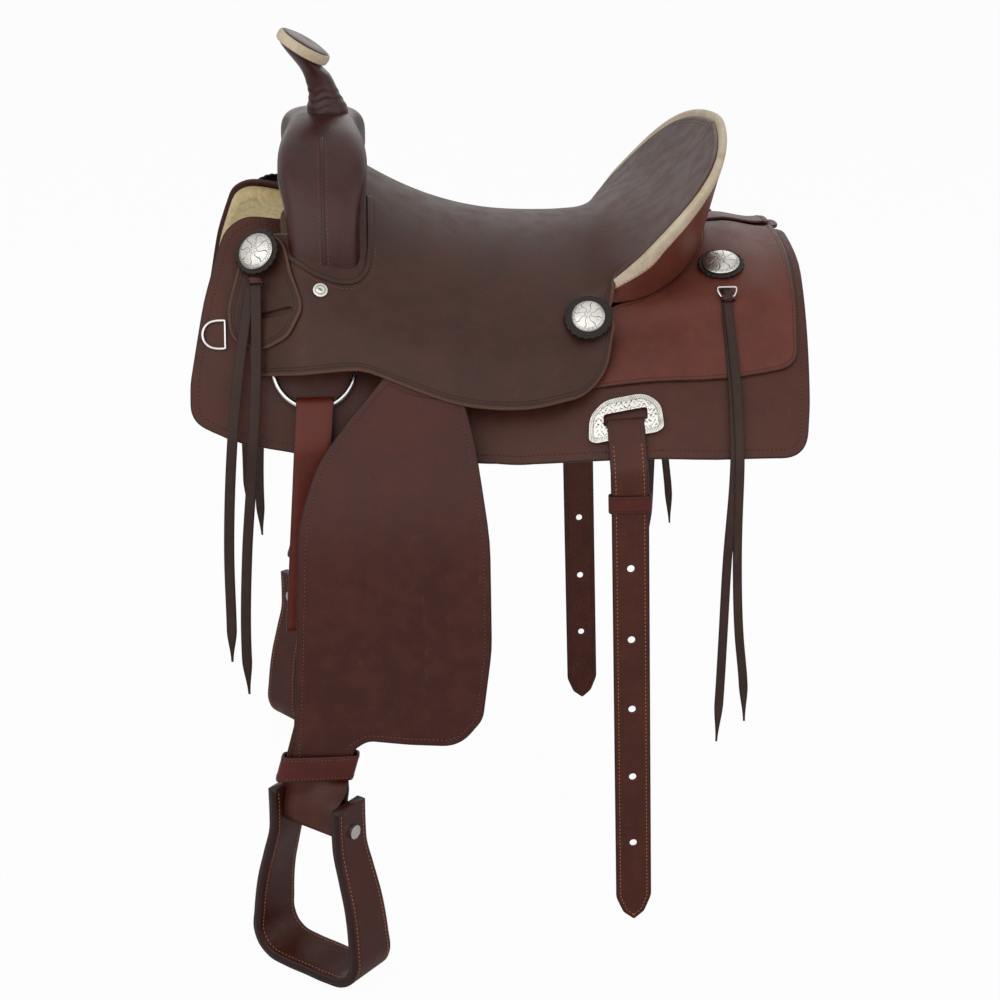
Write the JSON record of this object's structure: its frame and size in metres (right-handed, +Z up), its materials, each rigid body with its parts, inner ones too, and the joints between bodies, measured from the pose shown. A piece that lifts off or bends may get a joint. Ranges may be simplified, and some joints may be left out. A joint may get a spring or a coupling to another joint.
{
  "type": "western trail saddle",
  "caption": "Western trail saddle with horn, deep cantle, skirts, rigging rings, rear billets, latigo, wide fenders and bent stirrups.",
  "frame": {"origin": "on the centre plane at the height of the horse's back under the seat", "axes": "+X towards the horse's tail, -Y towards the near (left) side, +Z up"},
  "size_m": [0.6697, 0.77, 0.9903],
  "materials": {
    "tree_wood": "matte",
    "ground_seat": "matte",
    "seat_leather": "satin",
    "horn_iron": "matte",
    "rawhide": "satin",
    "jockey_leather": "satin",
    "skirt_leather": "satin",
    "fleece": "matte",
    "chrome": "polished",
    "engraved_silver": "satin",
    "rosette_leather": "satin",
    "string_leather": "matte",
    "fender_leather": "satin",
    "strap_leather": "satin",
    "latigo_leather": "satin"
  },
  "bodies": {
    "saddle": {"bar_left": "tree_wood", "bar_right": "tree_wood", "fork": "tree_wood", "swell_cover": "seat_leather", "horn": "horn_iron", "horn_cover": "seat_leather", "horn_binding": "rawhide", "cantle_board": "tree_wood", "cantle_back": "jockey_leather", "cantle_binding": "rawhide", "ground_seat": "ground_seat", "seat": "seat_leather", "skirt_left": "skirt_leather", "skirt_right": "skirt_leather", "fleece_left": "fleece", "fleece_right": "fleece", "rear_jockey_left": "jockey_leather", "rear_jockey_right": "jockey_leather", "rigging_ring_left": "chrome", "rigging_ring_right": "chrome", "rear_rigging_plate_left": "engraved_silver", "rear_rigging_plate_right": "engraved_silver", "latigo_holder_left": "seat_leather", "latigo_holder_right": "seat_leather", "front_rosette_left": "rosette_leather", "front_rosette_right": "rosette_leather", "front_concho_left": "engraved_silver", "front_concho_right": "engraved_silver", "cantle_rosette_left": "rosette_leather", "cantle_rosette_right": "rosette_leather", "cantle_concho_left": "engraved_silver", "cantle_concho_right": "engraved_silver", "rear_rosette_left": "rosette_leather", "rear_rosette_right": "rosette_leather", "rear_concho_left": "engraved_silver", "rear_concho_right": "engraved_silver", "seat_screw_left": "chrome", "seat_screw_right": "chrome", "front_strings_left": "string_leather", "front_strings_right": "string_leather", "rear_strings_left": "string_leather", "rear_strings_right": "string_leather"},
    "near_fender": {"fender_left": "fender_leather", "stirrup_leather_left": "strap_leather", "hobble_strap_left": "latigo_leather", "stirrup_bolt_left": "chrome"},
    "off_fender": {"fender_right": "fender_leather", "stirrup_leather_right": "strap_leather", "hobble_strap_right": "latigo_leather", "stirrup_bolt_right": "chrome"},
    "near_stirrup": {"stirrup_left": "fender_leather"},
    "off_stirrup": {"stirrup_right": "fender_leather"},
    "near_latigo": {"latigo_left": "latigo_leather"},
    "off_billet": {"off_billet_right": "latigo_leather"},
    "near_rear_billet": {"rear_billet_left": "strap_leather"},
    "off_rear_billet": {"rear_billet_right": "strap_leather"},
    "near_keeper": {"billet_keeper_left": "latigo_leather"},
    "off_keeper": {"billet_keeper_right": "latigo_leather"},
    "near_dee": {"breast_dee_left": "chrome"},
    "off_dee": {"breast_dee_right": "chrome"}
  },
  "joints": [
    {"name": "near_fender_swing", "type": "hinge", "parent": "saddle", "child": "near_fender", "pos_m": [-0.07, -0.11986, 0.01795], "axis": [0, 0.891, -0.454], "range_deg": [-10, 14], "deforming": ["stirrup_leather_left"]},
    {"name": "off_fender_swing", "type": "hinge", "parent": "saddle", "child": "off_fender", "pos_m": [-0.07, 0.11986, 0.01795], "axis": [0, 0.891, 0.454], "range_deg": [-10, 14], "deforming": ["stirrup_leather_right"]},
    {"name": "near_stirrup_pivot", "type": "hinge", "parent": "near_fender", "child": "near_stirrup", "pos_m": [-0.222, -0.31412, -0.52809], "axis": [0.766, -0.6428, 0], "range_deg": [-45, 45]},
    {"name": "off_stirrup_pivot", "type": "hinge", "parent": "off_fender", "child": "off_stirrup", "pos_m": [-0.222, 0.31412, -0.52809], "axis": [0.766, 0.6428, 0], "range_deg": [-45, 45]},
    {"name": "near_latigo_swing", "type": "hinge", "parent": "saddle", "child": "near_latigo", "pos_m": [-0.212, -0.19181, -0.05348], "axis": [-0.0342, 0.8774, -0.4785], "range_deg": [0, 8]},
    {"name": "off_billet_swing", "type": "hinge", "parent": "saddle", "child": "off_billet", "pos_m": [-0.212, 0.19181, -0.05348], "axis": [0.0342, 0.8774, 0.4785], "range_deg": [0, 8]},
    {"name": "near_rear_billet_lift", "type": "hinge", "parent": "saddle", "child": "near_rear_billet", "pos_m": [0.116, -0.25981, -0.11544], "axis": [-1, 0, 0], "range_deg": [0, 50], "deforming": ["rear_billet_left"]},
    {"name": "off_rear_billet_lift", "type": "hinge", "parent": "saddle", "child": "off_rear_billet", "pos_m": [0.116, 0.25981, -0.11544], "axis": [1, 0, 0], "range_deg": [0, 50], "deforming": ["rear_billet_right"]},
    {"name": "near_keeper_slide", "type": "slide", "parent": "near_rear_billet", "child": "near_keeper", "axis": [0.03, 0, -0.9996], "range_m": [0, 0.06]},
    {"name": "off_keeper_slide", "type": "slide", "parent": "off_rear_billet", "child": "off_keeper", "axis": [0.03, 0, -0.9996], "range_m": [0, 0.06]},
    {"name": "near_dee_flip", "type": "hinge", "parent": "saddle", "child": "near_dee", "pos_m": [-0.3055, -0.17096, -0.01996], "axis": [0, 0.4418, 0.8971], "range_deg": [0, 80]},
    {"name": "off_dee_flip", "type": "hinge", "parent": "saddle", "child": "off_dee", "pos_m": [-0.3055, 0.17096, -0.01996], "axis": [0, 0.4418, -0.8971], "range_deg": [0, 80]}
  ]
}
